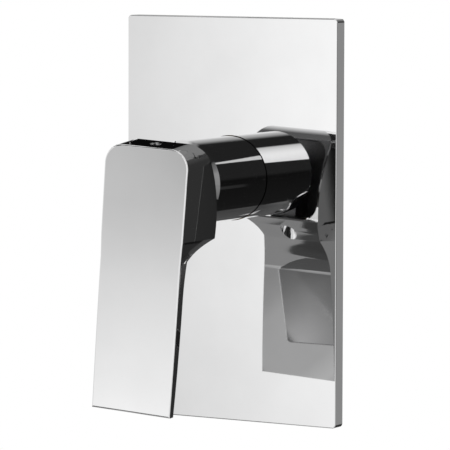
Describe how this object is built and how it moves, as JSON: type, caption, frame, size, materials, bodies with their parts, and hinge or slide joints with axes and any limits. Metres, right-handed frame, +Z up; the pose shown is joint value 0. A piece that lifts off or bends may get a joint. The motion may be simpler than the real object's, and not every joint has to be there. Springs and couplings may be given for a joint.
{
  "type": "concealed shower mixer",
  "caption": "Single-lever shower mixer set in the wall: flat rectangular cover plate, round sleeve and a flat-faced lever that lifts for flow and turns for temperature.",
  "frame": {"origin": "on the sleeve's axis, at the finished wall's surface behind the cover plate", "axes": "+Z up, +Y into the wall along the sleeve's axis, so the lever is on the -Y side; +X to the right of someone facing the wall"},
  "size_m": [0.12, 0.1259, 0.2],
  "materials": {
    "chrome": "polished chrome plate",
    "brass": "cast and machined",
    "steel": "turned",
    "rubber": "moulded",
    "foam": "closed-cell foam",
    "housing_plastic": "moulded acetal",
    "ceramic": "lapped alumina",
    "index": "moulded"
  },
  "bodies": {
    "valve": {"escutcheon_plate": "chrome", "plate_gasket": "foam", "plate_sleeve_seal": "rubber", "sleeve": "chrome", "sleeve_o_ring": "rubber", "mixer_body": "brass", "outlet_plug": "brass", "plug_washer": "rubber", "base_seals": "rubber", "disc_seals": "rubber", "cartridge_base": "housing_plastic", "fixed_disc": "ceramic", "cartridge_housing": "housing_plastic", "cartridge_nut": "brass"},
    "core": {"stem_carrier": "housing_plastic", "pivot_pin": "steel"},
    "lever": {"cartridge_stem": "steel", "lever_handle": "chrome", "handle_grub_screw": "steel", "index_plug": "index"},
    "slider": {"disc_carrier": "housing_plastic", "moving_disc": "ceramic"}
  },
  "joints": [
    {"name": "temperature_turn", "type": "hinge", "parent": "valve", "child": "core", "pos_m": [0, -0.03905, 0], "axis": [0, -1, 0], "range_deg": [-46.8, 53.2]},
    {"name": "lever_lift", "type": "hinge", "parent": "core", "child": "lever", "pos_m": [0, -0.03905, 0], "axis": [-0.9984, 0, 0.0558], "range_deg": [0, 25]},
    {"name": "disc_slide", "type": "slide", "parent": "core", "child": "slider", "axis": [-0.0558, 0, -0.9984], "range_m": [0, 0.0053]}
  ],
  "couplings": [
    {"joint": "disc_slide", "follows": "lever_lift", "m_per_rad": 0.012}
  ]
}
